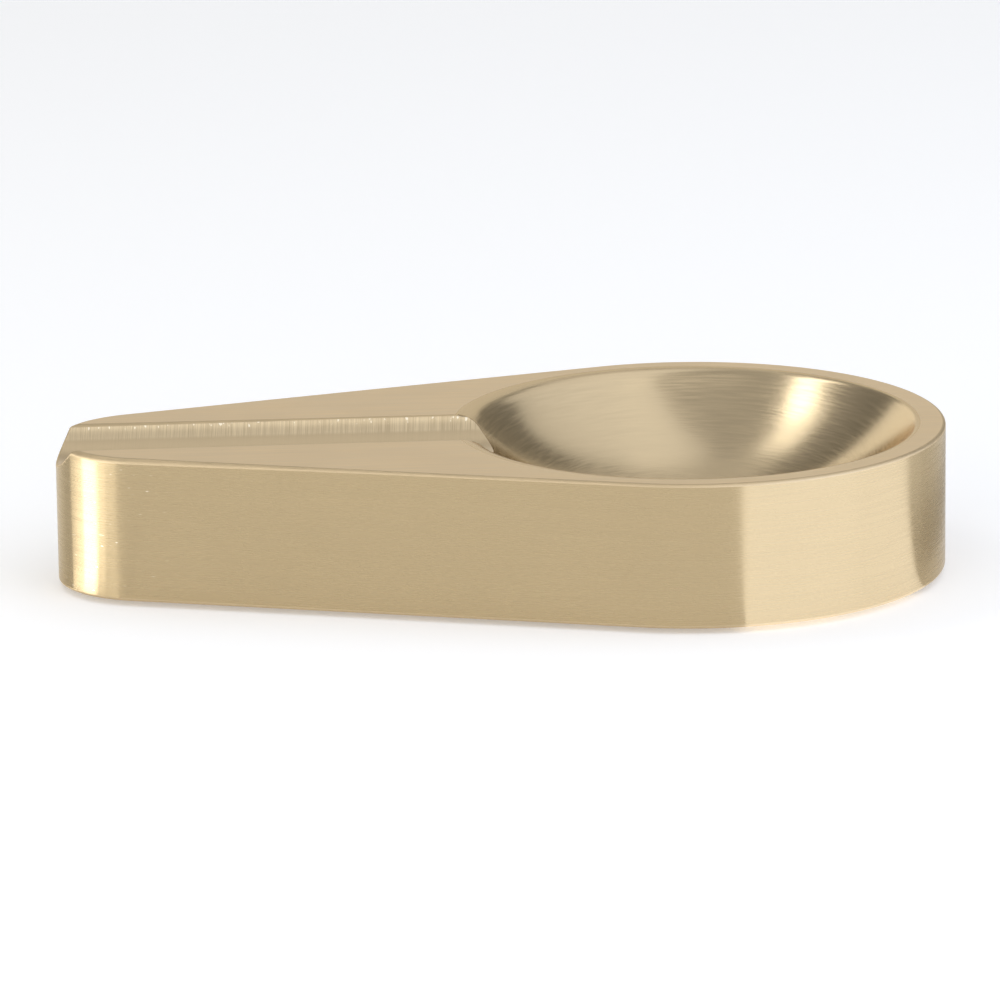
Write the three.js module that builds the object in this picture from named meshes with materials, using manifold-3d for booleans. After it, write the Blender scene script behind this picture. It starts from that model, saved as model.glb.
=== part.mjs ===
// A one-rest ashtray milled from a single block of brass. Seen from above it is a teardrop: a big round
// end that holds the bowl, two straight sides, and a small round tail. A round-bottomed groove runs along
// the middle from the tail into the bowl and cradles what is being smoked. Three soft feet, each stuck
// into a shallow pocket under the block with a disc of tape, keep the brass off the table.
//
// Millimetres, +Z up. The origin is on the table, under the middle of the length. +X points from the tail
// to the bowl.

import * as THREE from 'three';
import { mergeVertices, toCreasedNormals } from 'three/addons/utils/BufferGeometryUtils.js';
import Module from 'manifold-3d';

// The block
const OVERALL_LENGTH = 122.5;
const ROUND_END_RADIUS = 35;
const TAIL_RADIUS = 13.5;
const BLOCK_HEIGHT = 20;
const EDGE_BREAK = 0.4;

// The bowl, a spherical dish with a rounded lip, in the middle of the round end
const RIM_WIDTH = 2.7;
const BOWL_DEPTH = 13.5;
const LIP_ROUND = 3;

// The groove, cut with a round-nosed cutter
const GROOVE_RADIUS = 9;
const GROOVE_DEPTH = 3.5;

// The feet, their pockets and the tape that holds them
const FOOT_DIAMETER = 10;
const FOOT_STAND_OUT = 0.8;
const FOOT_EDGE_ROUND = 0.6;
const POCKET_DEPTH = 1.5;
const POCKET_CLEARANCE = 0.3;
const POCKET_TO_WALL = 3.5;
const FEET_SPREAD_ANGLE = 48;
const TAPE_THICKNESS = 0.3;
const TAPE_INSET = 0.4;

// How finely round shapes are cut into facets
const OUTLINE_SEGMENTS = 24;
const BOWL_SEGMENTS = 72;
const BOWL_ARC_STEPS = 14;
const LIP_ARC_STEPS = 4;
const GROOVE_SEGMENTS = 12;
const FOOT_SEGMENTS = 40;
const FOOT_EDGE_STEPS = 4;
const EDGE_BREAK_STEPS = 2;

// A cutter reaches this far past the face it opens.
const CUTTER_OVERRUN = 5;
const CREASE_ANGLE = THREE.MathUtils.degToRad(25);

// Places worked out from the sizes
const roundEndX = OVERALL_LENGTH / 2 - ROUND_END_RADIUS;
const tailX = TAIL_RADIUS - OVERALL_LENGTH / 2;
const taperLength = roundEndX - tailX;
const blockBottomZ = FOOT_STAND_OUT;
const blockTopZ = blockBottomZ + BLOCK_HEIGHT;
const footRadius = FOOT_DIAMETER / 2;
const pocketRadius = footRadius + POCKET_CLEARANCE;
const pocketCeilingZ = blockBottomZ + POCKET_DEPTH;
const footTopZ = pocketCeilingZ - TAPE_THICKNESS;

const wasm = await Module();
wasm.setup();

function toSolid(geometry) {
  const bare = geometry.clone();
  bare.deleteAttribute('normal');
  bare.deleteAttribute('uv');
  const merged = mergeVertices(bare);
  const vertProperties = new Float32Array(merged.attributes.position.array);
  const triVerts = new Uint32Array(merged.index.array);
  return new wasm.Manifold(new wasm.Mesh({ numProp: 3, vertProperties, triVerts }));
}

function toGeometry(solid) {
  const { vertProperties, triVerts } = solid.getMesh();
  const geometry = new THREE.BufferGeometry();
  geometry.setAttribute('position', new THREE.BufferAttribute(vertProperties, 3));
  geometry.setIndex(new THREE.BufferAttribute(triVerts, 1));
  return toCreasedNormals(geometry, CREASE_ANGLE);
}

// Points on a round arc in the plane of a turned profile: x is the distance from the axis, y the height.
function arcPoints(centre, radius, fromAngle, toAngle, steps) {
  return Array.from({ length: steps + 1 }, (_, i) => {
    const angle = THREE.MathUtils.lerp(fromAngle, toAngle, i / steps);
    return new THREE.Vector2(centre.x + radius * Math.cos(angle), centre.y + radius * Math.sin(angle));
  });
}

// A profile turned round the upright axis. LatheGeometry turns round Y, so the result is stood up.
function turned(profile, segments) {
  return new THREE.LatheGeometry(profile, segments).rotateX(Math.PI / 2);
}

// The teardrop: two arcs joined by the straight lines that touch both of them. Every edge along the
// outline is broken by a small round that stays inside the outline.
function blockGeometry() {
  const tangentAngle = Math.acos((TAIL_RADIUS - ROUND_END_RADIUS) / taperLength);
  const outline = new THREE.Shape();
  outline.absarc(roundEndX, 0, ROUND_END_RADIUS, -tangentAngle, tangentAngle);
  outline.absarc(tailX, 0, TAIL_RADIUS, tangentAngle, 2 * Math.PI - tangentAngle);
  outline.closePath();
  const block = new THREE.ExtrudeGeometry(outline, {
    depth: BLOCK_HEIGHT - 2 * EDGE_BREAK,
    curveSegments: OUTLINE_SEGMENTS,
    bevelThickness: EDGE_BREAK,
    bevelSize: EDGE_BREAK,
    bevelOffset: -EDGE_BREAK,
    bevelSegments: EDGE_BREAK_STEPS,
  });
  return block.translate(0, 0, blockBottomZ + EDGE_BREAK);
}

// What the bowl takes out. The dish is part of a sphere. The lip is an arc inside the brass that touches
// the top face at the mouth and the sphere below it, which fixes the sphere's radius.
function bowlCutter() {
  const mouthRadius = ROUND_END_RADIUS - RIM_WIDTH;
  const sphereRadius = (mouthRadius ** 2 + BOWL_DEPTH ** 2) / (2 * BOWL_DEPTH) - LIP_ROUND;
  const sphereCentre = new THREE.Vector2(0, blockTopZ - BOWL_DEPTH + sphereRadius);
  const lipCentre = new THREE.Vector2(mouthRadius, blockTopZ - LIP_ROUND);
  const touchAngle = lipCentre.clone().sub(sphereCentre).angle() - 2 * Math.PI;
  const dish = arcPoints(sphereCentre, sphereRadius, -Math.PI / 2, touchAngle, BOWL_ARC_STEPS);
  const lip = arcPoints(lipCentre, LIP_ROUND, touchAngle + Math.PI, Math.PI / 2, LIP_ARC_STEPS);
  const profile = [
    ...dish,
    ...lip.slice(1),
    new THREE.Vector2(mouthRadius, blockTopZ + CUTTER_OVERRUN),
    new THREE.Vector2(0, blockTopZ + CUTTER_OVERRUN),
  ];
  profile[0].x = 0;
  return turned(profile, BOWL_SEGMENTS).translate(roundEndX, 0, 0);
}

// What the groove takes out: a round bottom with upright walls above its centre, from past the tail to
// the middle of the bowl.
function grooveCutter() {
  const centreZ = blockTopZ - GROOVE_DEPTH + GROOVE_RADIUS;
  const wallTopZ = Math.max(centreZ, blockTopZ) + CUTTER_OVERRUN;
  const section = new THREE.Shape();
  section.moveTo(-GROOVE_RADIUS, wallTopZ);
  section.absarc(0, centreZ, GROOVE_RADIUS, Math.PI, 2 * Math.PI);
  section.lineTo(GROOVE_RADIUS, wallTopZ);
  section.closePath();
  const startX = -OVERALL_LENGTH / 2 - CUTTER_OVERRUN;
  const cutter = new THREE.ExtrudeGeometry(section, {
    depth: roundEndX - startX,
    curveSegments: GROOVE_SEGMENTS,
    bevelEnabled: false,
  });
  return cutter.rotateX(Math.PI / 2).rotateZ(Math.PI / 2).translate(startX, 0, 0);
}

function pocketCutter(place) {
  const height = POCKET_DEPTH + CUTTER_OVERRUN;
  const pocket = new THREE.CylinderGeometry(pocketRadius, pocketRadius, height, FOOT_SEGMENTS);
  return pocket.rotateX(Math.PI / 2).translate(place.x, place.y, pocketCeilingZ - height / 2);
}

// Where the feet go. The tail foot lies on the middle line, as near the tail as the brass round its pocket
// allows. The other two lie in the round end, the same distance from its wall.
function footPlaces() {
  const roomNeeded = pocketRadius + POCKET_TO_WALL;
  const taperRise = (ROUND_END_RADIUS - TAIL_RADIUS) / taperLength;
  const tailShift = Math.max(0, (roomNeeded - TAIL_RADIUS) / taperRise);
  const ringRadius = ROUND_END_RADIUS - roomNeeded;
  const spread = THREE.MathUtils.degToRad(FEET_SPREAD_ANGLE);
  const ringX = roundEndX + ringRadius * Math.cos(spread);
  const ringY = ringRadius * Math.sin(spread);
  return {
    tail: new THREE.Vector2(tailX + tailShift, 0),
    front: new THREE.Vector2(ringX, -ringY),
    back: new THREE.Vector2(ringX, ringY),
  };
}

function footGeometry() {
  const edgeCentre = new THREE.Vector2(footRadius - FOOT_EDGE_ROUND, FOOT_EDGE_ROUND);
  const profile = [
    new THREE.Vector2(0, 0),
    ...arcPoints(edgeCentre, FOOT_EDGE_ROUND, -Math.PI / 2, 0, FOOT_EDGE_STEPS),
    new THREE.Vector2(footRadius, footTopZ),
    new THREE.Vector2(0, footTopZ),
  ];
  return turned(profile, FOOT_SEGMENTS);
}

function tapeGeometry() {
  const radius = footRadius - TAPE_INSET;
  const disc = new THREE.CylinderGeometry(radius, radius, TAPE_THICKNESS, FOOT_SEGMENTS);
  return disc.rotateX(Math.PI / 2).translate(0, 0, footTopZ + TAPE_THICKNESS / 2);
}

function named(name, geometry, material) {
  const mesh = new THREE.Mesh(geometry, material);
  mesh.name = name;
  return mesh;
}

const places = footPlaces();

let block = toSolid(blockGeometry());
block = block.subtract(toSolid(bowlCutter()));
block = block.subtract(toSolid(grooveCutter()));
for (const place of Object.values(places)) {
  block = block.subtract(toSolid(pocketCutter(place)));
}

const brass = new THREE.MeshStandardMaterial({ color: 0xc9b083, roughness: 0.38, metalness: 1 });
const silicone = new THREE.MeshStandardMaterial({ color: 0x2b2a29, roughness: 0.75, metalness: 0 });
const tape = new THREE.MeshStandardMaterial({ color: 0xd8d2c4, roughness: 0.6, metalness: 0 });

const ashtray = new THREE.Group();
ashtray.name = 'ashtray';
ashtray.add(named('brass_body', toGeometry(block), brass));
for (const [side, place] of Object.entries(places)) {
  const foot = named(`foot_${side}`, footGeometry(), silicone.clone());
  const disc = named(`tape_disc_${side}`, tapeGeometry(), tape.clone());
  for (const piece of [foot, disc]) {
    piece.position.set(place.x, place.y, 0);
    ashtray.add(piece);
  }
}

export default ashtray;
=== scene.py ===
# %% [markdown]
# # A teardrop ashtray in brushed brass
#
# The real thing is one thick bar of brass, cut to a teardrop, with a dish milled into its round end and a
# long round-bottomed groove that cradles a cigar on the way into the dish. It stands on small soft feet.
# Everything here is in metres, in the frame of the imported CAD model: X runs from the tail to the dish,
# Z is up, and the table is at zero. The CAD model gives every size that it can, so the looks fit it.

# %% Load the frame
import math

import bmesh
import bpy
import numpy as np
from mathutils import Matrix, Vector


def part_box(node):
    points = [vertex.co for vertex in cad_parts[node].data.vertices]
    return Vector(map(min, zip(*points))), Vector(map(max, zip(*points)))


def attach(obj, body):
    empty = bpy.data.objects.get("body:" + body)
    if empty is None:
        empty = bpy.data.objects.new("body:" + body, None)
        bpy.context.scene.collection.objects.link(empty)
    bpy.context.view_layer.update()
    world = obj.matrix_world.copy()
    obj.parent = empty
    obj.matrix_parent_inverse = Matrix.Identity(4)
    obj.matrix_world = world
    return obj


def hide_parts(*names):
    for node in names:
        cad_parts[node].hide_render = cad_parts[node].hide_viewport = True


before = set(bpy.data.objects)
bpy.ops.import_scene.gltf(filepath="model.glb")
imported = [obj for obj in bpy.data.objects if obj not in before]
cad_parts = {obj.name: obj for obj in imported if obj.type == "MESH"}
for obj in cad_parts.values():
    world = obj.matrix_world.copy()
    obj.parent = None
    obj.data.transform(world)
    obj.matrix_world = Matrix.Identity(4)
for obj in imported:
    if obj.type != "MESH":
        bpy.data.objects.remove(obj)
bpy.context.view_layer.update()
MM = 0.001

# %% [markdown]
# ## The outline of the block
#
# Seen from above the block is two arcs joined by the straight lines that touch both. A drawing of it could
# be a Bezier curve, but the walls, the top and the groove all have to share its points, so the outline is
# worked out as plain coordinates. The overall size comes from the CAD box of the block, and only the tail's
# radius is a number of its own.

# %% Sizes of the teardrop
TAIL_RADIUS = 13.5 * MM

block_low, block_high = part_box("brass_body")
bottom_z = block_low.z
top_z = block_high.z
round_radius = (block_high.y - block_low.y) / 2
round_x = block_high.x - round_radius
tail_x = block_low.x + TAIL_RADIUS
side_angle = math.acos((TAIL_RADIUS - round_radius) / (round_x - tail_x))
print("round end radius", round(round_radius / MM, 2), "mm, side angle", round(math.degrees(side_angle), 1))

# %% [markdown]
# ## The dish and the groove as sections
#
# The dish is part of a sphere with a rounded lip at the top. The lip is an arc inside the brass that touches
# the flat top and the sphere. It was eased by hand, so it is wide and soft towards the tail, where the rest
# comes in, and almost crisp at the far end. The groove is part of a round bar laid along the middle. Cutting
# both with Boolean modifiers would work, but leaves ragged triangles along the cuts that catch the light on
# polished metal. A few small formulas give clean rows of points instead.

# %% Section of the dish
RIM_WIDTH = 2.7 * MM
DISH_DEPTH = 13.5 * MM
LIP_ROUND = 3.0 * MM
LIP_EASING = 1.8 * MM

mouth_radius = round_radius - RIM_WIDTH
sphere_radius = (mouth_radius**2 + DISH_DEPTH**2) / (2 * DISH_DEPTH) - LIP_ROUND
sphere_z = top_z - DISH_DEPTH + sphere_radius


def lip_at(angle):
    """Radius of the lip and where it meets the flat top, in one direction from the dish's axis."""
    lip = LIP_ROUND - LIP_EASING * math.cos(angle)
    mouth = math.sqrt(mouth_radius**2 + 2 * DISH_DEPTH * (lip - LIP_ROUND))
    return lip, mouth


def dish_height(radius, angle):
    """Height of the dish at a distance and in a direction from its upright axis."""
    lip, mouth = lip_at(angle)
    lip_ends = mouth * sphere_radius / (sphere_radius + lip)
    if radius > lip_ends:
        return top_z - lip + math.sqrt(max(0, lip**2 - (mouth - radius) ** 2))
    return sphere_z - math.sqrt(sphere_radius**2 - radius**2)


def dish_distance(height, angle):
    """Distance from the dish's axis at which it has a height, in one direction."""
    lip, mouth = lip_at(angle)
    lip_ends = sphere_z - (sphere_z - top_z + lip) * sphere_radius / (sphere_radius + lip)
    if height > lip_ends:
        return mouth - math.sqrt(max(0, lip**2 - (height - top_z + lip) ** 2))
    return math.sqrt(sphere_radius**2 - (sphere_z - height) ** 2)


print("sphere radius", round(sphere_radius / MM, 2), "mm, bottom at", round(dish_height(0, 0) / MM, 2), "mm")

# %% Section of the groove
GROOVE_RADIUS = 9 * MM
GROOVE_DEPTH = 3.5 * MM
GROOVE_HALF_STEPS = 16

groove_z = top_z - GROOVE_DEPTH + GROOVE_RADIUS
groove_angle = math.acos((groove_z - top_z) / GROOVE_RADIUS)
groove_turns = np.linspace(-groove_angle, groove_angle, 2 * GROOVE_HALF_STEPS + 1)
groove_y = GROOVE_RADIUS * np.sin(groove_turns)
groove_heights = groove_z - GROOVE_RADIUS * np.cos(groove_turns)
groove_edge = GROOVE_RADIUS * math.sin(groove_angle)
print("groove is", round(2 * groove_edge / MM, 2), "mm wide at the top")

# %% Where the groove runs into the dish
SETTLING_ROUNDS = 12


def groove_end(y, height):
    """Distance from the dish's axis, and direction, at which a line of the groove meets the dish."""
    angle = math.pi
    for _ in range(SETTLING_ROUNDS):
        distance = dish_distance(height, angle)
        angle = math.atan2(y, -math.sqrt(distance**2 - y**2)) % (2 * math.pi)
    return distance, angle


mouth_distances, mouth_angles = np.array([groove_end(*place) for place in zip(groove_y, groove_heights)]).T
groove_ends = round_x + mouth_distances * np.cos(mouth_angles)
print("groove meets the dish from", *(round(x / MM, 1) for x in (min(groove_ends), max(groove_ends))), "mm")

# %% [markdown]
# ## Points of the outline
#
# The groove leaves the tail through its round end. The outline gets a point wherever a line of the groove
# ends on it, so that the faces of the wall and of the groove meet corner to corner. Beside that opening the
# points keep some distance, because the sharp corner of the flat top there is rounded later.

# %% Outline points
ROUND_STEPS = 136
SIDE_STEPS = 46
TAIL_STEPS = 10
CORNER_ROOM = 2.2 * MM


def arc(centre_x, radius, start, end, steps):
    """Points on an arc about a point of the middle line."""
    angles = np.linspace(start, end, steps + 1)
    return np.column_stack((centre_x + radius * np.cos(angles), radius * np.sin(angles)))


def straight(start, end, steps):
    """Points on a line, without its ends."""
    shares = np.linspace(0, 1, steps + 1)[1:-1, None]
    return np.array(start) * (1 - shares) + np.array(end) * shares


def touch_point(centre_x, radius, side):
    """Where a straight side touches an arc: side is 1 at the back and -1 at the front."""
    return centre_x + radius * math.cos(side_angle), side * radius * math.sin(side_angle)


corner_angle = math.pi - math.asin(groove_edge / TAIL_RADIUS) - CORNER_ROOM / TAIL_RADIUS
exit_points = np.column_stack((tail_x - np.sqrt(TAIL_RADIUS**2 - groove_y**2), groove_y))
before_exit = np.vstack((
    arc(round_x, round_radius, side_angle, -side_angle, ROUND_STEPS),
    straight(touch_point(round_x, round_radius, -1), touch_point(tail_x, TAIL_RADIUS, -1), SIDE_STEPS),
    arc(tail_x, TAIL_RADIUS, -side_angle, -corner_angle, TAIL_STEPS),
))
after_exit = np.vstack((
    arc(tail_x, TAIL_RADIUS, corner_angle, side_angle, TAIL_STEPS),
    straight(touch_point(tail_x, TAIL_RADIUS, 1), touch_point(round_x, round_radius, 1), SIDE_STEPS),
))
outline = np.vstack((before_exit, exit_points, after_exit))
exit_start = len(before_exit)
exit_end = exit_start + len(exit_points)
steps_along = np.linalg.norm(np.diff(np.vstack((outline, outline[:1])), axis=0), axis=1)
distance_along = np.concatenate(([0], np.cumsum(steps_along)))
print(len(outline), "outline points,", round(distance_along[-1] / MM, 1), "mm round")

# %% [markdown]
# ## The block as one clean mesh
#
# A small helper lays faces between rows of corners. Each face remembers which finish it has (the flat top,
# the wall, the dish, the groove or the underside) and two stroke coordinates per corner: how far across and
# how far along the brush strokes it lies. Those go into a UV map, and the brass later reads from it which way
# its scratches run.

# %% Start the mesh
FINISHES = ("top", "wall", "dish", "groove", "underside", "edge")
TOP, WALL, DISH, GROOVE, UNDERSIDE, EDGE = range(len(FINISHES))

block = bmesh.new()
stroke_layer = block.loops.layers.uv.new("strokes")


def corner(x, y, z):
    """A corner of the block."""
    return block.verts.new((x, y, z))


def lay_face(corners, strokes, finish):
    """One face with its finish and the stroke coordinates, in millimetres, of its corners."""
    face = block.faces.new(corners)
    face.material_index = finish
    face.smooth = True
    for loop, (across, along) in zip(face.loops, strokes):
        loop[stroke_layer].uv = (across / MM, along / MM)


def lay_rows(rows, strokes, finish):
    """Four-cornered faces between neighbouring rows of corners."""
    for row in range(len(rows) - 1):
        for step in range(len(rows[row]) - 1):
            places = ((row, step), (row, step + 1), (row + 1, step + 1), (row + 1, step))
            lay_face(
                [rows[r][s] for r, s in places],
                [strokes[r][s] for r, s in places],
                finish,
            )


# %% [markdown]
# ## The groove
#
# A round-nosed cutter ran once along the middle of the bar. Its path is a row of cross sections from the tail
# to the dish. The first one after the tail keeps its distance, which leaves room to round the edge there.

# %% Groove
GROOVE_STATIONS = 72
FIRST_STATION = 0.045

groove_rows = []
groove_strokes = []
for share in np.concatenate(([0], np.linspace(FIRST_STATION, 1, GROOVE_STATIONS))):
    xs = exit_points[:, 0] * (1 - share) + groove_ends * share
    groove_rows.append([corner(*place) for place in zip(xs, groove_y, groove_heights)])
    groove_strokes.append(list(zip(xs, GROOVE_RADIUS * groove_turns)))
lay_rows(groove_rows, groove_strokes, GROOVE)
print("groove has", len(groove_rows), "cross sections of", len(groove_y), "points")

# %% [markdown]
# ## The dish
#
# Rays run from the mouth of the dish to its lowest point, and rings cross them, closer together on the lip.
# Most rays start on the rim. The ones that face the groove start where its lines end, have fewer rings, and
# fan out a little on the way in, because the sides of the groove don't point at the middle of the dish.
# A lathe could not do that.

# %% Rays of the dish
RIM_STEPS = 140
LIP_STEPS = 8
SPHERE_STEPS = 28
LEAST_GAP = 0.3
FAN_ANGLE = math.radians(16)
FAN_ENDS = 22 * MM

fan_angles = np.linspace(math.pi + FAN_ANGLE, math.pi - FAN_ANGLE, len(mouth_angles))
rim_angles = np.linspace(math.pi - FAN_ANGLE, FAN_ANGLE - math.pi, RIM_STEPS + 1)[1:-1]
rim_distances = np.array([lip_at(angle)[1] for angle in rim_angles])
rim_corners = [
    corner(round_x + r * math.cos(a), r * math.sin(a), top_z) for r, a in zip(rim_distances, rim_angles)
]


def ring_radii(angle):
    """Distances from the axis at which the rings cross a ray."""
    lip, mouth = lip_at(angle)
    lean = math.asin(mouth / (sphere_radius + lip))
    lip_radii = mouth - lip * np.sin(np.linspace(0, lean, LIP_STEPS + 1))
    sphere_radii = sphere_radius * np.sin(np.linspace(lean, 0, SPHERE_STEPS + 1))
    return np.concatenate((lip_radii, sphere_radii[1:-1]))


def dish_ray(start, length, start_angle, end_angle):
    """Corners down one ray with their distances and directions, from its start to the innermost ring."""
    ray = [(start, length, start_angle)]
    radii = ring_radii(end_angle)
    for outer, r in zip(radii, radii[1:]):
        if r < length - LEAST_GAP * (outer - r):
            bend = max(0, (r - FAN_ENDS) / (length - FAN_ENDS)) ** 2
            angle = end_angle + (start_angle - end_angle) * bend
            point = corner(round_x + r * math.cos(angle), r * math.sin(angle), dish_height(r, angle))
            ray.append((point, r, angle))
    return ray


rays = [dish_ray(*ray) for ray in zip(groove_rows[-1], mouth_distances, mouth_angles, fan_angles)]
rays += [dish_ray(*ray) for ray in zip(rim_corners, rim_distances, rim_angles, rim_angles)]
print(len(rays), "rays in the dish, with", min(map(len, rays)), "to", max(map(len, rays)), "corners")

# %% Faces of the dish
STROKE_TURN_LENGTH = 20 * MM


def lay_dish_face(corners):
    """A face of the dish from corners with their distances and directions."""
    strokes = [(-distance, STROKE_TURN_LENGTH * angle) for _, distance, angle in corners]
    lay_face([point for point, _, _ in corners], strokes, DISH)


closing_ray = [(point, distance, angle - 2 * math.pi) for point, distance, angle in rays[0]]
columns = list(zip(rays, rays[1:] + [closing_ray]))
for left, right in columns:
    shared = min(len(left), len(right)) - 1
    lay_dish_face(left[: len(left) - shared + 1] + right[len(right) - shared :: -1])
    for ring in range(1, shared):
        lay_dish_face((left[-ring - 1], left[-ring], right[-ring], right[-ring - 1]))
print(len(block.faces), "faces so far")

# %% Lowest point of the dish
dish_bottom = corner(round_x, 0, dish_height(0, 0))
for left, right in columns:
    middle = (left[-1][2] + right[-1][2]) / 2
    lay_dish_face((left[-1], right[-1], (dish_bottom, 0, middle)))
print("dish bottom at", round(dish_bottom.co.z / MM, 2), "mm")

# %% [markdown]
# ## The wall
#
# The sides of the bar stand straight up. The wall is a few rows of faces round the outline, and its top row
# dips where the groove leaves the tail.

# %% Wall
WALL_ROWS = 7

top_heights = np.full(len(outline), top_z)
top_heights[exit_start:exit_end] = groove_heights
wall_rows = []
wall_strokes = []
for share in np.linspace(0, 1, WALL_ROWS + 1):
    heights = bottom_z * (1 - share) + top_heights * share
    if share < 1:
        row = [corner(x, y, z) for (x, y), z in zip(outline, heights)]
    else:
        row = [corner(x, y, top_z) for x, y in before_exit]
        row += groove_rows[0]
        row += [corner(x, y, top_z) for x, y in after_exit]
    wall_rows.append(row + row[:1])
    wall_strokes.append(list(zip(np.append(heights, heights[0]), distance_along)))
lay_rows(wall_rows, wall_strokes, WALL)
print(len(wall_rows), "rows in the wall")

# %% [markdown]
# ## The flat top and the underside
#
# The groove opens the rim, so the flat top is a single C-shaped face with no hole in it, and one flat face
# shades without a ripple. The underside has three round pockets for the feet, so it is filled between its
# outer edge and the pockets' edges.

# %% Flat top
top_edge = wall_rows[-1][:-1]
top_corners = [row[-1] for row in groove_rows]
top_corners += rim_corners
top_corners += [row[0] for row in reversed(groove_rows)]
top_corners += top_edge[exit_start - 1 :: -1]
top_corners += top_edge[: exit_end - 1 : -1]
lay_face(top_corners, [(point.co.y, point.co.x) for point in top_corners], TOP)
print("flat top has", len(top_corners), "corners")

# %% Underside and pockets
POCKET_CLEARANCE = 0.3 * MM
POCKET_STEPS = 72
FOOT_PLACES = ("tail", "front", "back")


def ring_of_corners(centre, radius, z, steps):
    """Corners of the block on a level circle."""
    angles = np.linspace(0, 2 * math.pi, steps, endpoint=False)
    return [corner(centre.x + radius * math.cos(a), centre.y + radius * math.sin(a), z) for a in angles]


underside_edges = [block.edges.get(pair) for pair in zip(wall_rows[0], wall_rows[0][1:])]
for place in FOOT_PLACES:
    foot_low, foot_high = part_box("foot_" + place)
    foot_centre = (foot_low + foot_high) / 2
    pocket_radius = (foot_high.x - foot_low.x) / 2 + POCKET_CLEARANCE
    ceiling_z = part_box("tape_disc_" + place)[1].z
    mouth = ring_of_corners(foot_centre, pocket_radius, bottom_z, POCKET_STEPS)
    ceiling = ring_of_corners(foot_centre, pocket_radius, ceiling_z, POCKET_STEPS)
    turns = np.linspace(0, 2 * math.pi, POCKET_STEPS + 1) * pocket_radius
    pocket_strokes = [[(z, along) for along in turns] for z in (bottom_z, ceiling_z)]
    lay_rows([mouth + mouth[:1], ceiling + ceiling[:1]], pocket_strokes, UNDERSIDE)
    lay_face(ceiling, [(point.co.y, point.co.x) for point in ceiling], UNDERSIDE)
    underside_edges += [block.edges.get(pair) for pair in zip(mouth, mouth[1:] + mouth[:1])]
filled = bmesh.ops.triangle_fill(block, edges=underside_edges, use_beauty=True)
for face in filled["geom"]:
    if isinstance(face, bmesh.types.BMFace):
        face.material_index = UNDERSIDE
        face.smooth = True
        for loop in face.loops:
            loop[stroke_layer].uv = (loop.vert.co.y / MM, loop.vert.co.x / MM)
bmesh.ops.recalc_face_normals(block, faces=block.faces)
open_edges = [edge for edge in block.edges if not edge.is_manifold]
print(len(block.faces), "faces in the block,", len(open_edges), "open edges")

# %% [markdown]
# ## Broken edges
#
# Nobody leaves a milled edge razor sharp: each is broken by a fraction of a millimetre, more along the
# outline and less along the groove. The tail is where the hand rests, so its edges are rounded the most.
# A Bevel modifier rounds edges by a weight, and every edge between two finishes gets the weight of its kind:
# one width at the tail, and one that it falls to for the rest of the block. The lip is already round and gets
# none. The line where the groove runs into the dish and the corners of the pockets underneath stay crisp, so
# they are marked sharp. The rounded strips get a finish of their own, because abrasive leaves them softer
# than the brushed faces; its colour is the brass painted darker, as painted shade, so that the strips don't
# shine brighter than the faces beside them. A Weighted Normal modifier keeps the flats flat.

# %% Bevel weights
WIDEST_ROUND = 0.8 * MM
EASING_PLACES = (-56 * MM, -20 * MM)
EDGE_ROUNDS = {
    frozenset((TOP, WALL)): (WIDEST_ROUND, 0.45 * MM),
    frozenset((WALL, UNDERSIDE)): (0.45 * MM, 0.45 * MM),
    frozenset((TOP, GROOVE)): (0.42 * MM, 0.2 * MM),
    frozenset((WALL, GROOVE)): (0.35 * MM, 0.35 * MM),
}
CRISP = frozenset((GROOVE, DISH))
POCKET = frozenset((UNDERSIDE,))
SHARP_TURN = math.radians(45)

weight_layer = block.edges.layers.float.new("bevel_weight_edge")
broken = 0
for edge in block.edges:
    kinds = frozenset(face.material_index for face in edge.link_faces)
    pocket_corner = kinds == POCKET and edge.calc_face_angle() > SHARP_TURN
    edge.smooth = kinds != CRISP and not pocket_corner
    if kinds not in EDGE_ROUNDS:
        continue
    middle_x = (edge.verts[0].co.x + edge.verts[1].co.x) / 2
    edge[weight_layer] = np.interp(middle_x, EASING_PLACES, EDGE_ROUNDS[kinds]) / WIDEST_ROUND
    broken += 1
print(broken, "edges are broken")

# %% Make the body
EDGE_SEGMENTS = 4
EVEN_WEIGHT = 50


def add_object(name, data):
    """An object of the scene that shows a mesh, a lamp or a camera."""
    added = bpy.data.objects.new(name, data)
    bpy.context.scene.collection.objects.link(added)
    return added


def add_shape(name, shape):
    """An object of the scene made from a shape that is ready."""
    mesh = bpy.data.meshes.new(name)
    shape.to_mesh(mesh)
    shape.free()
    return add_object(name, mesh)


body = add_shape("ashtray_body", block)
rounding = body.modifiers.new("broken edges", "BEVEL")
rounding.limit_method = "WEIGHT"
rounding.width = WIDEST_ROUND
rounding.segments = EDGE_SEGMENTS
rounding.material = EDGE
rounding.use_clamp_overlap = False
flatness = body.modifiers.new("flat flats", "WEIGHTED_NORMAL")
flatness.weight = EVEN_WEIGHT
flatness.keep_sharp = True

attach(body, "root")
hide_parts("brass_body")
print("body has", len(body.data.polygons), "faces before its edges are broken")

# %% [markdown]
# ## The soft feet
#
# The feet are small moulded discs of black silicone, pressed into pockets under the brass. Each has a rounded
# foot edge, a shallow dimple in the middle so that it grips with a ring, and a slightly eased top edge.
# A profile spun round an upright axis gives all of that, and the same function makes the three of them.

# %% Feet
FOOT_EDGE = 0.6 * MM
FOOT_TOP_EDGE = 0.15 * MM
DIMPLE_RADIUS = 2.2 * MM
DIMPLE_DEPTH = 0.3 * MM
FOOT_STEPS = 64
SEAM_GAP = 0.001 * MM
CURVE_STEPS = 6


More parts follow.
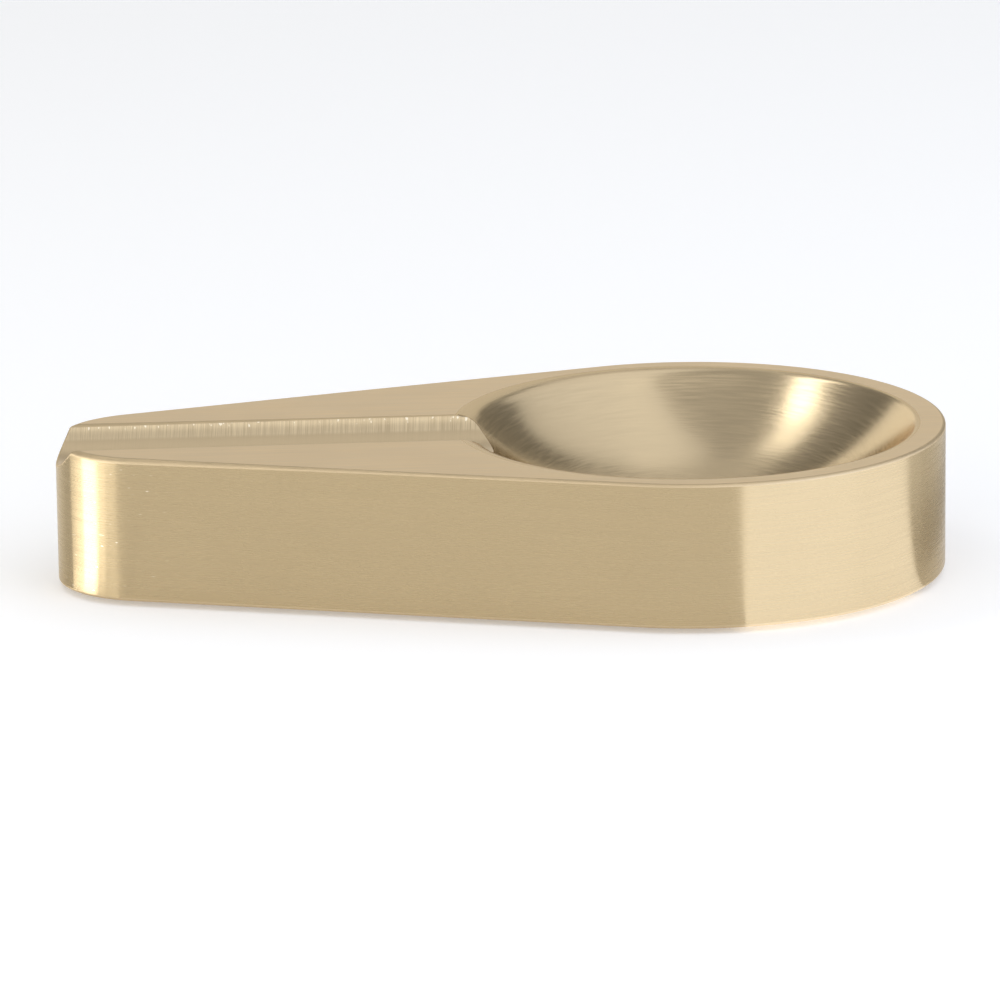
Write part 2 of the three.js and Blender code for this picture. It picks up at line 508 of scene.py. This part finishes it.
def foot_profile(radius, height):
    """Distances and heights of a foot's profile, from the middle of its dimple over its edge to its top."""
    quarter = np.linspace(0, math.pi / 2, CURVE_STEPS + 1)
    dimple = np.linspace(0, 1, CURVE_STEPS + 1)
    points = [(DIMPLE_RADIUS * s, DIMPLE_DEPTH * (1 + math.cos(math.pi * s)) / 2) for s in dimple]
    points += [
        (radius - FOOT_EDGE * (1 - math.sin(a)), FOOT_EDGE * (1 - math.cos(a))) for a in quarter
    ]
    points += [
        (radius - FOOT_TOP_EDGE * (1 - math.cos(a)), height - FOOT_TOP_EDGE * (1 - math.sin(a)))
        for a in quarter
    ]
    return points + [(0, height)]


def spun(name, profile, centre):
    """A solid spun from a profile round an upright axis."""
    shape = bmesh.new()
    points = [shape.verts.new((distance, 0, height)) for distance, height in profile]
    lines = [shape.edges.new(pair) for pair in zip(points, points[1:])]
    bmesh.ops.spin(shape, geom=points + lines, axis=(0, 0, 1), angle=2 * math.pi, steps=FOOT_STEPS)
    bmesh.ops.remove_doubles(shape, verts=shape.verts, dist=SEAM_GAP)
    bmesh.ops.recalc_face_normals(shape, faces=shape.faces)
    bmesh.ops.translate(shape, verts=shape.verts, vec=(centre.x, centre.y, 0))
    for face in shape.faces:
        face.smooth = True
    return add_shape(name, shape)


feet = []
for place in FOOT_PLACES:
    foot_low, foot_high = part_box("foot_" + place)
    profile = foot_profile((foot_high.x - foot_low.x) / 2, foot_high.z)
    foot = spun("silicone_foot_" + place, profile, (foot_low + foot_high) / 2)
    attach(foot, "root")
    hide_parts("foot_" + place)
    feet.append(foot)
print(len(feet), "feet of", len(feet[0].data.polygons), "faces")

# %% [markdown]
# ## Helpers for materials
#
# A material is a tree of nodes. One helper adds a node and sets or links its inputs, and a few more add the
# nodes that every finish here needs: noise, a mapped range, a sum and a mix of two colours.

# %% Node helpers
NOISE_ROUGHNESS = 0.6
NOISE_MIDDLE = (0.3, 0.7)
MIX_SHARE = 0
MIX_FIRST = 6
MIX_SECOND = 7
MIX_RESULT = 2


def set_inputs(tree, node, inputs):
    """Sets or links each named input of a node."""
    for name, value in inputs.items():
        if isinstance(value, bpy.types.NodeSocket):
            tree.links.new(value, node.inputs[name])
        else:
            node.inputs[name].default_value = value


def put(tree, kind, inputs, **settings):
    """Adds a node with its settings and its inputs."""
    made = tree.nodes.new(kind)
    for name, value in settings.items():
        setattr(made, name, value)
    set_inputs(tree, made, inputs)
    return made


def noise(tree, field, scale, detail):
    """Soft noise over a field of places."""
    inputs = {"Vector": field, "Scale": scale, "Detail": detail, "Roughness": NOISE_ROUGHNESS}
    return put(tree, "ShaderNodeTexNoise", inputs).outputs["Fac"]


def mapped(tree, value, old, new):
    """Maps one range of a value to another, and holds it there."""
    inputs = {"Value": value, "From Min": old[0], "From Max": old[1], "To Min": new[0], "To Max": new[1]}
    return put(tree, "ShaderNodeMapRange", inputs).outputs["Result"]


def spread(tree, value, low, high):
    """Maps the middle of a noise value's range to low and high."""
    return mapped(tree, value, NOISE_MIDDLE, (low, high))


def worked_out(tree, operation, *values):
    """The result of a Math node."""
    return put(tree, "ShaderNodeMath", dict(enumerate(values)), operation=operation).outputs["Value"]


def between(tree, share, first, second):
    """A mix of two colours: the Mix node has several sockets of each name, so they go by number."""
    inputs = {MIX_SHARE: share, MIX_FIRST: first, MIX_SECOND: second}
    return put(tree, "ShaderNodeMix", inputs, data_type="RGBA").outputs[MIX_RESULT]


def new_material(name):
    """A material with its tree of nodes and its shader."""
    material = bpy.data.materials.new(name)
    material.use_nodes = True
    tree = material.node_tree
    return material, tree, tree.nodes["Principled BSDF"]


# %% [markdown]
# ## The brass
#
# Brushed brass is bare metal under thousands of fine parallel scratches. Along a scratch it mirrors almost
# clearly, and across it the reflection smears out: that is what the Anisotropic value does, and the Tangent
# node tells it which way is across. The scratches themselves are noise that is fine across the stroke and
# long along it. It tints the metal a little, changes its roughness and gives a faint relief.

# %% Stroke fields
FINE_ACROSS = 4800
FINE_ALONG = 110
FINE_AROUND = 6


def object_place(tree):
    """Where a point lies in the object's own coordinates."""
    return put(tree, "ShaderNodeTexCoord", {}).outputs["Object"]


def straight_strokes(scale, turn=0):
    """A field of straight strokes: a large scale is across them, a small one along them."""

    def field(tree):
        place = put(tree, "ShaderNodeVectorRotate", {"Vector": object_place(tree), "Angle": turn}).outputs[0]
        return put(tree, "ShaderNodeMapping", {"Vector": place, "Scale": scale}).outputs["Vector"]

    return field


def vector_math(tree, operation, inputs):
    """The outputs of a Vector Math node."""
    return put(tree, "ShaderNodeVectorMath", inputs, operation=operation).outputs


def ring_strokes(tree):
    """A field of strokes that run round the dish: its third coordinate is the distance from the axis."""
    offset = vector_math(tree, "SUBTRACT", {0: object_place(tree), 1: (round_x, 0, 0)})["Vector"]
    level = vector_math(tree, "MULTIPLY", {0: offset, 1: (1, 1, 0)})["Vector"]
    distance = vector_math(tree, "LENGTH", {0: level})["Value"]
    turn = vector_math(tree, "NORMALIZE", {0: level})["Vector"]
    around = vector_math(tree, "SCALE", {0: turn, "Scale": FINE_AROUND})["Vector"]
    outward = worked_out(tree, "MULTIPLY", distance, FINE_ACROSS)
    upright = put(tree, "ShaderNodeCombineXYZ", {"Z": outward}).outputs["Vector"]
    return vector_math(tree, "ADD", {0: around, 1: upright})["Vector"]


lengthwise = straight_strokes((FINE_ALONG, FINE_ACROSS, FINE_ACROSS))
level_strokes = straight_strokes((FINE_ALONG, FINE_ALONG, FINE_ACROSS))

# %% [markdown]
# ## Bright specks: painted glints
#
# Under the edges of the groove and on the wall near the tail, bright specks are painted into the colour:
# painted glints, near-white spots that stand in for light caught by the metal. These specks are the highest
# tips of a fine noise, kept to a range of places.

# %% Specks
SPECK_EDGE = 0.06


def inside_range(tree, value, low, high, soft):
    """One between low and high, falling to zero over a soft width outside them."""
    rise = mapped(tree, value, (low - soft, low), (0, 1))
    fall = mapped(tree, value, (high, high + soft), (1, 0))
    return worked_out(tree, "MULTIPLY", rise, fall)


def specks_in(axis, low, high, soft, scale, threshold):
    """Painted glints where an axis of the object lies in a range: a scale sets how long and thin they are."""

    def field(tree):
        place = object_place(tree)
        split = put(tree, "ShaderNodeSeparateXYZ", {"Vector": place})
        stretched = put(tree, "ShaderNodeMapping", {"Vector": place, "Scale": scale}).outputs["Vector"]
        tips = noise(tree, stretched, scale=1, detail=1)
        peaks = mapped(tree, tips, (threshold, threshold + SPECK_EDGE), (0, 1))
        mask = inside_range(tree, split.outputs[axis], low, high, soft)
        return worked_out(tree, "MULTIPLY", peaks, mask)

    return field


# Painted glints under the groove's edges and on the tail's wall.
groove_painted_glints = specks_in(
    "Z", low=top_z - 0.7 * MM, high=top_z - 0.2 * MM, soft=0.15 * MM, scale=(1900, 900, 900), threshold=0.64
)
tail_painted_glints = specks_in(
    "X", low=-57 * MM, high=-50 * MM, soft=4 * MM, scale=(700, 700, 2600), threshold=0.72
)

# %% Brass finish
BROAD_STROKES = 0.2
CLOUD_SCALE = 90
FINE_WEIGHT = 2
ROUGHNESS_SWING = 0.03
STROKE_DEPTH = 0.01 * MM
# The near-white colour of the painted glints.
PAINTED_GLINT_COLOUR = (1, 0.9, 0.72, 1)


def shade(colour, factor):
    """A colour made lighter or darker."""
    return (*(factor * channel for channel in colour), 1)


def raised(tree, height, strength, depth):
    """A faint relief."""
    inputs = {"Height": height, "Strength": strength, "Distance": depth}
    return put(tree, "ShaderNodeBump", inputs).outputs["Normal"]


def across_strokes(tree):
    """The direction across the strokes, from the map of stroke coordinates."""
    return put(tree, "ShaderNodeTangent", {}, direction_type="UV_MAP", uv_map="strokes").outputs["Tangent"]


def brass_finish(name, stroke_field, colour, contrast, roughness, anisotropy, relief, edge_tint, specks=None):
    """Brushed brass whose scratches follow a stroke field."""
    material, tree, shader = new_material(name)
    field = stroke_field(tree)
    fine = noise(tree, field, scale=1, detail=0)
    broad = noise(tree, field, BROAD_STROKES, detail=2)
    clouds = noise(tree, object_place(tree), CLOUD_SCALE, detail=2)
    strokes = worked_out(tree, "MULTIPLY_ADD", fine, FINE_WEIGHT, broad)
    tone = worked_out(tree, "ADD", strokes, clouds)
    share = worked_out(tree, "DIVIDE", tone, FINE_WEIGHT + 2)
    tint = between(tree, spread(tree, share, 0, 1), shade(colour, 1 - contrast), shade(colour, 1 + contrast))
    # Painted glints: the specks mix the colour towards near white.
    if specks:
        tint = between(tree, specks(tree), tint, PAINTED_GLINT_COLOUR)
    set_inputs(tree, shader, {
        "Base Color": tint,
        "Roughness": spread(tree, fine, roughness - ROUGHNESS_SWING, roughness + ROUGHNESS_SWING),
        "Normal": raised(tree, fine, relief, STROKE_DEPTH),
        "Tangent": across_strokes(tree),
        "Metallic": 1,
        "Anisotropic": anisotropy,
        "Specular Tint": edge_tint,
    })
    return material


# %% [markdown]
# ## The groove as milled
#
# Nobody brushed the groove. Its upper sides carry the chatter marks of the round-nosed cutter, close together
# and crossing the groove at a small angle. Lower down the cutter turns more slowly and leaves plainer metal.
# The upper band's colours are also painted paler than the lower band's: a painted highlight, where the upper
# sides mirror a bright softbox and the lower sides a dimmer part of the room.

# %% Milled groove
CHATTER_ACROSS = 9000
CHATTER_TURN = math.radians(6)
CHATTER_AND_HIGHLIGHT_ENDS = top_z - 1.6 * MM
CHATTER_AND_HIGHLIGHT_SOFT = 0.3 * MM
CHATTER_RANGE = (0.37, 0.62)
CHATTER_RELIEF = 0.4
LIT_CHATTER_DARK = (0.62, 0.49, 0.31, 1)
LIT_CHATTER_PALE = (0.80, 0.655, 0.435, 1)
PLAIN_DARK = (0.57, 0.45, 0.28, 1)
PLAIN_PALE = (0.68, 0.54, 0.35, 1)
MILLED_ROUGHNESS = (0.36, 0.44)
MILLED_ANISOTROPY = 0.6

crosswise = straight_strokes((CHATTER_ACROSS, FINE_ALONG, FINE_ALONG), CHATTER_TURN)


def milled_finish(name):
    """Brass as a round-nosed cutter leaves it: chatter marks and a painted highlight above, plain below."""
    material, tree, shader = new_material(name)
    marks = noise(tree, crosswise(tree), scale=1, detail=3)
    height = put(tree, "ShaderNodeSeparateXYZ", {"Vector": object_place(tree)}).outputs["Z"]
    # The upper band carries the chatter marks and, as a painted highlight, paler colours.
    upper = inside_range(tree, height, CHATTER_AND_HIGHLIGHT_ENDS, top_z, CHATTER_AND_HIGHLIGHT_SOFT)
    hatched_and_lit = between(tree, mapped(tree, marks, CHATTER_RANGE, (0, 1)), LIT_CHATTER_DARK, LIT_CHATTER_PALE)
    plain = between(tree, marks, PLAIN_DARK, PLAIN_PALE)
    set_inputs(tree, shader, {
        "Base Color": between(tree, groove_painted_glints(tree), between(tree, upper, plain, hatched_and_lit), PAINTED_GLINT_COLOUR),
        "Roughness": spread(tree, marks, *MILLED_ROUGHNESS),
        "Normal": raised(tree, marks, CHATTER_RELIEF, STROKE_DEPTH),
        "Tangent": across_strokes(tree),
        "Metallic": 1,
        "Anisotropic": MILLED_ANISOTROPY,
    })
    return material


# %% [markdown]
# ## The six finishes
#
# The brushed faces differ in direction, colour and how clearly they mirror, so one function with different
# values makes them all. The wall and the broken edges have the same brass painted darker: painted shade, to
# match how dark they look in this light. The wall is the most strongly brushed and smears its reflections the
# most. The dish is the clearest, and the broken edges are satin without a direction.

# %% The six finishes of the block
TOP_BRASS = (0.685, 0.508, 0.275)
# The wall's brass, painted darker as painted shade.
SHADED_WALL_BRASS = (0.505, 0.39, 0.226)
PALE_BRASS = (0.66, 0.53, 0.34)
# The broken edges' brass, painted darker as painted shade.
SHADED_SATIN_BRASS = (0.59, 0.465, 0.29)
BRIGHT_EDGE = (1, 1, 1, 1)
WARM_EDGE = (0.92, 0.88, 0.80, 1)
WARMER_EDGE = (0.82, 0.74, 0.62, 1)

finishes = {
    "top": brass_finish(
        "brushed_top", lengthwise, TOP_BRASS,
        contrast=0.08, roughness=0.32, anisotropy=0.6, relief=0.1, edge_tint=BRIGHT_EDGE,
    ),
    "wall": brass_finish(
        "brushed_wall", level_strokes, SHADED_WALL_BRASS,
        contrast=0.035, roughness=0.27, anisotropy=0.99, relief=0.06, edge_tint=WARM_EDGE, specks=tail_painted_glints,
    ),
    "dish": brass_finish(
        "brushed_dish", ring_strokes, PALE_BRASS,
        contrast=0.04, roughness=0.24, anisotropy=0.5, relief=0.6, edge_tint=WARMER_EDGE,
    ),
    "groove": milled_finish("milled_groove"),
    "underside": brass_finish(
        "brushed_underside", lengthwise, PALE_BRASS,
        contrast=0.12, roughness=0.46, anisotropy=0.8, relief=0.1, edge_tint=BRIGHT_EDGE,
    ),
    "edge": brass_finish(
        "satin_edge", level_strokes, SHADED_SATIN_BRASS,
        contrast=0.05, roughness=0.5, anisotropy=0, relief=0.06, edge_tint=WARM_EDGE,
    ),
}
for finish in FINISHES:
    body.data.materials.append(finishes[finish])
print("finishes:", list(finishes))

# %% [markdown]
# ## Silicone and tape
#
# The feet are matt black silicone with the fine sand texture of their mould. The tape between foot and brass
# is hidden in the real thing, but shows when the part is taken apart: a pale foam with a grain of small
# cells.

# %% Silicone
SAND_SCALE = 9000
SAND_RELIEF = 0.4
SAND_DEPTH = 0.02 * MM
DUST_SCALE = 400
SILICONE_DARK = (0.022, 0.021, 0.020, 1)
SILICONE_PALE = (0.045, 0.043, 0.041, 1)
SILICONE_ROUGHNESS = (0.62, 0.78)


def silicone_finish():
    """Matt black silicone with the sand texture of its mould and a little dust."""
    material, tree, shader = new_material("moulded_silicone")
    sand = noise(tree, object_place(tree), SAND_SCALE, detail=2)
    dust = noise(tree, object_place(tree), DUST_SCALE, detail=3)
    set_inputs(tree, shader, {
        "Base Color": between(tree, spread(tree, dust, 0, 1), SILICONE_DARK, SILICONE_PALE),
        "Roughness": spread(tree, dust, *SILICONE_ROUGHNESS),
        "Normal": raised(tree, sand, SAND_RELIEF, SAND_DEPTH),
    })
    return material


silicone = silicone_finish()
for foot in feet:
    foot.data.materials.append(silicone)
print("silicone on", len(feet), "feet")

# %% Tape
CELL_SCALE = 5000
CELL_RELIEF = 0.5
CELL_DEPTH = 0.05 * MM
STAIN_SCALE = 600
TAPE_DARK = (0.62, 0.58, 0.49, 1)
TAPE_PALE = (0.74, 0.71, 0.63, 1)
TAPE_ROUGHNESS = (0.5, 0.68)


def tape_finish():
    """Pale foam tape with small cells and faint stains."""
    material, tree, shader = new_material("foam_tape")
    cells = put(tree, "ShaderNodeTexVoronoi", {"Vector": object_place(tree), "Scale": CELL_SCALE})
    stain = noise(tree, object_place(tree), STAIN_SCALE, detail=3)
    set_inputs(tree, shader, {
        "Base Color": between(tree, spread(tree, stain, 0, 1), TAPE_DARK, TAPE_PALE),
        "Roughness": spread(tree, stain, *TAPE_ROUGHNESS),
        "Normal": raised(tree, cells.outputs["Distance"], CELL_RELIEF, CELL_DEPTH),
    })
    return material


tape = tape_finish()
for place in FOOT_PLACES:
    disc = bpy.data.objects["tape_disc_" + place]
    disc.data.materials.clear()
    disc.data.materials.append(tape)
print("tape on", len(FOOT_PLACES), "discs")

# %% [markdown]
# ## The floor
#
# The ashtray stands on a plain white floor that runs out of the picture. It is matt, so it takes the object's
# soft shadow, and it glows a little for the camera and for reflections, so that it reads as white without
# more light on the brass.

# %% Floor
FLOOR_RADIUS = 3.0
FLOOR_SEGMENTS = 96

floor_shape = bmesh.new()
bmesh.ops.create_circle(floor_shape, cap_ends=True, segments=FLOOR_SEGMENTS, radius=FLOOR_RADIUS)
floor = add_shape("floor", floor_shape)
print("floor", 2 * FLOOR_RADIUS, "m across")

# %% Floor finish
FLOOR_GLOW = 0.27
MATT_WHITE = (0.8, 0.8, 0.8, 1)
PURE_WHITE = (1, 1, 1, 1)


def floor_finish():
    """Matt white that glows a little for the camera and for reflections."""
    material, tree, _ = new_material("white_floor")
    tree.nodes.clear()
    light_path = put(tree, "ShaderNodeLightPath", {}).outputs
    seen = worked_out(tree, "MAXIMUM", light_path["Is Camera Ray"], light_path["Is Glossy Ray"])
    seen = worked_out(tree, "MAXIMUM", seen, light_path["Is Transmission Ray"])
    strength = worked_out(tree, "MULTIPLY", seen, FLOOR_GLOW)
    shine = put(tree, "ShaderNodeEmission", {"Color": PURE_WHITE, "Strength": strength})
    matt = put(tree, "ShaderNodeBsdfDiffuse", {"Color": MATT_WHITE})
    both = put(tree, "ShaderNodeAddShader", {0: shine.outputs[0], 1: matt.outputs[0]})
    put(tree, "ShaderNodeOutputMaterial", {"Surface": both.outputs[0]})
    return material


floor.data.materials.append(floor_finish())
print("floor glow", FLOOR_GLOW)

# %% [markdown]
# ## The studio
#
# Metal shows what is around it, so the light is most of its look. The room itself is dim, a little lighter
# overhead. What the brass mirrors are white cards and softboxes: a backdrop behind, soft ones overhead and on
# the right, a card in front, strips at the tail, and a small strong one at the back on the left that makes
# the highlight in the dish. One helper makes each from a brightness, because the power of an area light
# changes with its size, and two more aim it. The camera doesn't see them.

# %% World
WORLD_STOPS = ((0.0, 0.28), (0.5, 0.2), (0.85, 0.41), (1.0, 0.5))
NEW_STOP = 0.5

world = bpy.data.worlds.new("studio")
world.use_nodes = True
bpy.context.scene.world = world
tree = world.node_tree
direction = put(tree, "ShaderNodeTexCoord", {})
split = put(tree, "ShaderNodeSeparateXYZ", {"Vector": direction.outputs["Generated"]})
ramp = put(tree, "ShaderNodeValToRGB", {"Fac": split.outputs["Z"]})
while len(ramp.color_ramp.elements) < len(WORLD_STOPS):
    ramp.color_ramp.elements.new(NEW_STOP)
for element, (position, level) in zip(ramp.color_ramp.elements, WORLD_STOPS):
    element.position = position
    element.color = (level, level, level, 1)
tree.links.new(ramp.outputs["Color"], tree.nodes["Background"].inputs["Color"])
print("world levels:", [level for _, level in WORLD_STOPS])


# %% Light helpers
def area_light(name, place, turn, width, height, level, tint=(1, 1, 1)):
    """A rectangular light of a brightness."""
    lamp = bpy.data.lights.new(name, "AREA")
    lamp.shape = "RECTANGLE"
    lamp.size = width
    lamp.size_y = height
    lamp.energy = level * math.pi * width * height
    lamp.color = tint
    holder = add_object(name, lamp)
    holder.location = place
    holder.rotation_euler = turn
    holder.visible_camera = False
    return holder


def softbox(name, place, aim, **light):
    """A light that faces a point."""
    facing = (Vector(aim) - Vector(place)).to_track_quat("-Z", "Y").to_euler()
    return area_light(name, place, facing, **light)


def hang(name, aim, azimuth, elevation, distance, **light):
    """A softbox hung round a point that it faces: azimuth 0 is straight back, 90 is to the right."""
    a = math.radians(azimuth)
    e = math.radians(elevation)
    outward = Vector((math.sin(a) * math.cos(e), math.cos(a) * math.cos(e), math.sin(e)))
    return softbox(name, Vector(aim) + distance * outward, aim, **light)


# %% Lights
DISH_CENTRE = (round_x, 0, top_z)
TOP_CENTRE = (0, 0, top_z)
FLOOR_CENTRE = (0, 0, 0)
TAIL_END = (block_low.x, 0, top_z / 2)
COOL = (0.93, 1.02, 1.24)
FRESH = (0.97, 1.0, 1.06)

lights = [
    softbox("backdrop left", (-0.475, 0.95, 0.25), (-0.475, 0, 0.25), width=0.75, height=0.5, level=0.95),
    softbox("backdrop middle", (0.175, 0.95, 0.43), (0.175, 0, 0.43), width=0.55, height=0.86, level=0.62),
    hang(
        "tail strip", TAIL_END, azimuth=-94, elevation=6, distance=0.6,
        width=0.32, height=0.26, level=1.3,
    ),
    hang(
        "tail strip upper", TAIL_END, azimuth=-94, elevation=32, distance=0.6,
        width=0.32, height=0.26, level=1.1,
    ),
    hang(
        "tail fill", TAIL_END, azimuth=-123, elevation=12, distance=0.6,
        width=0.25, height=0.4, level=1.95,
    ),
    hang(
        "dish softbox", DISH_CENTRE, azimuth=-66, elevation=57, distance=0.7,
        width=0.22, height=0.11, level=3.7,
    ),
    hang(
        "dish fill", DISH_CENTRE, azimuth=-38, elevation=54, distance=0.7,
        width=0.22, height=0.13, level=1.4,
    ),
    hang(
        "overhead right", DISH_CENTRE, azimuth=70, elevation=60, distance=0.8,
        width=0.85, height=0.7, level=0.55, tint=FRESH,
    ),
    hang(
        "back overhead", DISH_CENTRE, azimuth=5, elevation=52, distance=0.9,
        width=0.4, height=0.3, level=0.24,
    ),
    softbox(
        "front right near", (0.374, -0.377, 0.275), (-0.423, 0.227, 0.275),
        width=0.524, height=0.55, level=1.3, tint=COOL,
    ),
    softbox(
        "front right far", (0.809, 0.197, 0.275), (0.012, 0.801, 0.275),
        width=0.916, height=0.55, level=1.1, tint=COOL,
    ),
    hang(
        "front overhead", TOP_CENTRE, azimuth=180, elevation=58, distance=0.9,
        width=0.9, height=0.45, level=0.98,
    ),
    hang(
        "front card", FLOOR_CENTRE, azimuth=-160, elevation=20, distance=0.7,
        width=1.2, height=0.52, level=0.9,
    ),
]
print(len(lights), "softboxes")

# %% [markdown]
# ## A light panel on the floor
#
# Seen from a little above, the upright wall mirrors the floor. A panel that lies there on the right makes the
# round end bright, from a crisp line where its edge begins. A tall softbox could do the same, but it would
# have to be so strong that the flat top turns plain white when it is seen from behind.

# %% Floor panel
PANEL_CORNER = Vector((27.7, -25.9, 0.3)) * MM
PANEL_TURN = math.radians(17.5)
PANEL_WIDTH = 0.55
PANEL_DEPTH = 0.45
PANEL_LEVEL = 0.8
FACE_UP = math.pi

along_panel = Vector((math.cos(PANEL_TURN), math.sin(PANEL_TURN), 0))
across_panel = Vector((math.sin(PANEL_TURN), -math.cos(PANEL_TURN), 0))
panel_middle = PANEL_CORNER + (PANEL_WIDTH * along_panel + PANEL_DEPTH * across_panel) / 2
area_light(
    "floor panel", panel_middle, (FACE_UP, 0, PANEL_TURN),
    width=PANEL_WIDTH, height=PANEL_DEPTH, level=PANEL_LEVEL, tint=COOL,
)
print("floor panel middle at", [round(value, 3) for value in panel_middle])

# %% [markdown]
# ## Two cards for reflections
#
# Photographers lay cards beside shiny metal to draw its edges. At the tail the wall has one narrow, almost
# white highlight. What it mirrors there is a wedge of the floor on the left, so a glowing card of that shape
# lies on it, brightest in the middle. On the right a low grey card leans back behind the round end. Its side
# towards the brass gets less light than the floor, and that makes the darker band at the end of the wall.
# Both are there for reflections only: the camera doesn't see them, and the floor takes no light or shade
# from them.

# %% Card helper
def lay_card(name, corners, faces, material):
    """A card that only shows in reflections."""
    mesh = bpy.data.meshes.new(name)
    mesh.from_pydata(corners, [], faces)
    mesh.materials.append(material)
    card = add_object(name, mesh)
    card.visible_camera = False
    card.visible_diffuse = False
    card.visible_shadow = False
    return card


# %% [markdown]
# ## The glowing card's shape
#
# The wall of the tail is an arc, so each place on it has its own angle and mirrors the view its own way. The
# card is a fan of sectors, with one ray for each of a few places on the arc and a brightness for each ray.
# Blender blends the brightness from ray to ray, which gives the highlight soft sides.

# %% Glowing card at the tail
VIEW_HEADING = math.radians(86.5)
GLOW_HEIGHT = 0.2 * MM
GLOW_REACH = (3 * MM, 400 * MM)
GLOW_BY_PLACE = {-159: 0.2, -151: 0.3, -145: 2.4, -140: 4.6, -133: 4.6, -128: 1.2, -122: 0.3, -107: 0.15}


def glow_corner(place, distance):
    """A corner of the card: how far it lies from a place on the tail's wall, along what it mirrors."""
    normal = math.radians(place)
    mirrored = 2 * normal + math.pi - VIEW_HEADING
    x = tail_x + TAIL_RADIUS * math.cos(normal) + distance * math.cos(mirrored)
    y = TAIL_RADIUS * math.sin(normal) + distance * math.sin(mirrored)
    return x, y, GLOW_HEIGHT


def glowing_finish():
    """White that glows as strongly as the card's glow values say."""
    material, tree, shader = new_material("glowing_card")
    strength = put(tree, "ShaderNodeAttribute", {}, attribute_name="glow").outputs["Fac"]
    inputs = {"Base Color": MATT_WHITE, "Emission Color": PURE_WHITE, "Emission Strength": strength}
    set_inputs(tree, shader, inputs)
    return material


glow_corners = [glow_corner(place, reach) for place in GLOW_BY_PLACE for reach in GLOW_REACH]
glow_faces = [(i, i + 1, i + 3, i + 2) for i in range(0, len(glow_corners) - 2, 2)]
tail_card = lay_card("tail_card", glow_corners, glow_faces, glowing_finish())
glow_values = tail_card.data.attributes.new("glow", "FLOAT", "POINT")
glow_values.data.foreach_set("value", np.repeat(list(GLOW_BY_PLACE.values()), len(GLOW_REACH)).tolist())
print("the glowing card has", len(glow_faces), "sectors")

# %% Grey card on the right
CARD_NEAR = Vector((70, -11.5, 0)) * MM
CARD_FAR = Vector((88, 250, 0)) * MM
CARD_RISE = Vector((9, 0, 6.5)) * MM
FIBRE_SCALE = 3000
CARD_DARK = (0.84, 0.84, 0.84, 1)
CARD_PALE = (0.92, 0.92, 0.92, 1)
CARD_ROUGHNESS = 0.9


def card_finish():
    """Pale grey card with a fine grain."""
    material, tree, shader = new_material("grey_card")
    fibres = noise(tree, object_place(tree), FIBRE_SCALE, detail=3)
    colour = between(tree, fibres, CARD_DARK, CARD_PALE)
    set_inputs(tree, shader, {"Base Color": colour, "Roughness": CARD_ROUGHNESS})
    return material


card_corners = [CARD_NEAR, CARD_FAR, CARD_FAR + CARD_RISE, CARD_NEAR + CARD_RISE]
lay_card("shade_card", card_corners, [(0, 1, 2, 3)], card_finish())
print("the grey card is", round(CARD_RISE.length / MM), "mm wide and leans back")

# %% [markdown]
# ## The camera
#
# The camera stands where the photograph was taken from: a long lens about a metre away, a little above the
# rim and a little to the left. Its place is given by angles round the middle of the block.

# %% Camera
LENS = 265.16
CAMERA_DISTANCE = 1.01557
CAMERA_AZIMUTH = -3.475
CAMERA_ELEVATION = 14.664
CAMERA_ROLL = -0.683
CAMERA_TARGET = Vector((-0.267, 0, 10.285)) * MM

azimuth = math.radians(CAMERA_AZIMUTH)
elevation = math.radians(CAMERA_ELEVATION)
roll = math.radians(CAMERA_ROLL)
backward = Vector((
    math.sin(azimuth) * math.cos(elevation),
    -math.cos(azimuth) * math.cos(elevation),
    math.sin(elevation),
))
rightward = Vector((math.cos(azimuth), math.sin(azimuth), 0))
upward = backward.cross(rightward)
rolled_right = math.cos(roll) * rightward + math.sin(roll) * upward
rolled_up = math.cos(roll) * upward - math.sin(roll) * rightward
camera_data = bpy.data.cameras.new("camera")
camera_data.lens = LENS
camera = add_object("camera", camera_data)
turned = Matrix((rolled_right, rolled_up, backward)).transposed().to_4x4()
camera.matrix_world = Matrix.Translation(CAMERA_TARGET + CAMERA_DISTANCE * backward) @ turned
bpy.context.scene.camera = camera
bpy.context.scene.view_settings.view_transform = "Standard"
print("camera at", [round(value, 3) for value in camera.matrix_world.translation])
